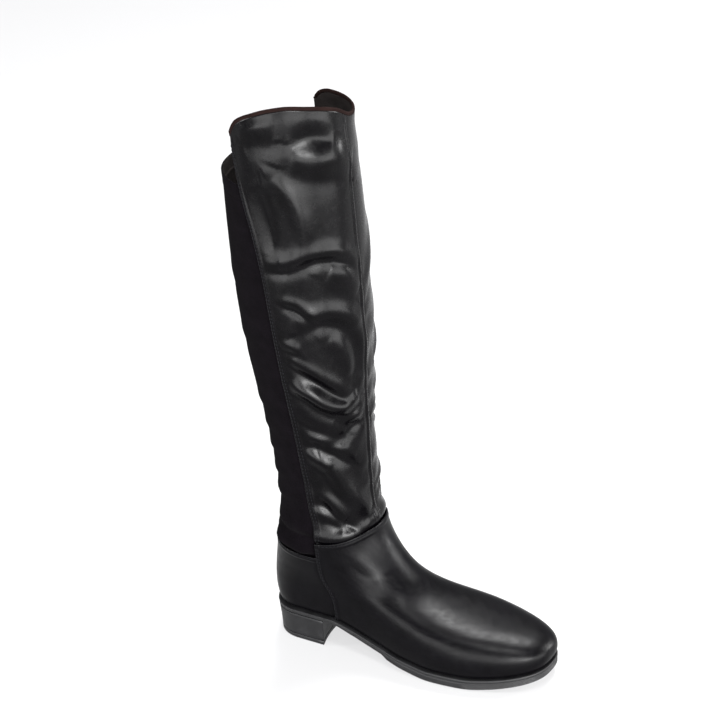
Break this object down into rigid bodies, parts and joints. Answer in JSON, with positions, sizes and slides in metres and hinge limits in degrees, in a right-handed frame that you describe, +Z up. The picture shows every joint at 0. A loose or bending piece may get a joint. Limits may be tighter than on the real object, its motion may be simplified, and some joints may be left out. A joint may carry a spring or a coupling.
{
  "type": "knee-high boot",
  "caption": "Right knee-high boot with a leather front, stretch fabric back, inner zip, low block heel and rubber sole.",
  "frame": {"origin": "centre of the heel's flat bottom, on the floor", "axes": "+X towards the toe, +Y to the medial side, +Z up the shaft"},
  "size_m": [0.2715, 0.1147, 0.515],
  "materials": {
    "rubber": "matt black moulded rubber",
    "heel": "satin black stacked heel",
    "leather": "smooth satin black",
    "gloss_leather": "smooth glossy black, creased",
    "binding": "thin dark edge binding",
    "stretch_fabric": "dull black stretch knit",
    "zip_tape": "woven black tape with a nylon coil",
    "zip_metal": "dark plated metal",
    "lining": "dark brushed textile"
  },
  "bodies": {
    "boot": {"outsole": "rubber", "heel_top_lift": "rubber", "heel_block": "heel", "insole": "lining", "upper": "leather", "shaft": "gloss_leather", "collar_binding": "binding", "stretch_panel": "stretch_fabric", "zip_chain": "zip_tape", "zip_slider": "zip_metal"},
    "zip_pull": {"zip_pull": "zip_metal"}
  },
  "joints": [
    {"name": "pull_hinge", "type": "hinge", "parent": "boot", "child": "zip_pull", "pos_m": [0.00206, 0.0572, 0.43201], "axis": [0.9937, 0.112, 0], "range_deg": [0, 150]}
  ]
}
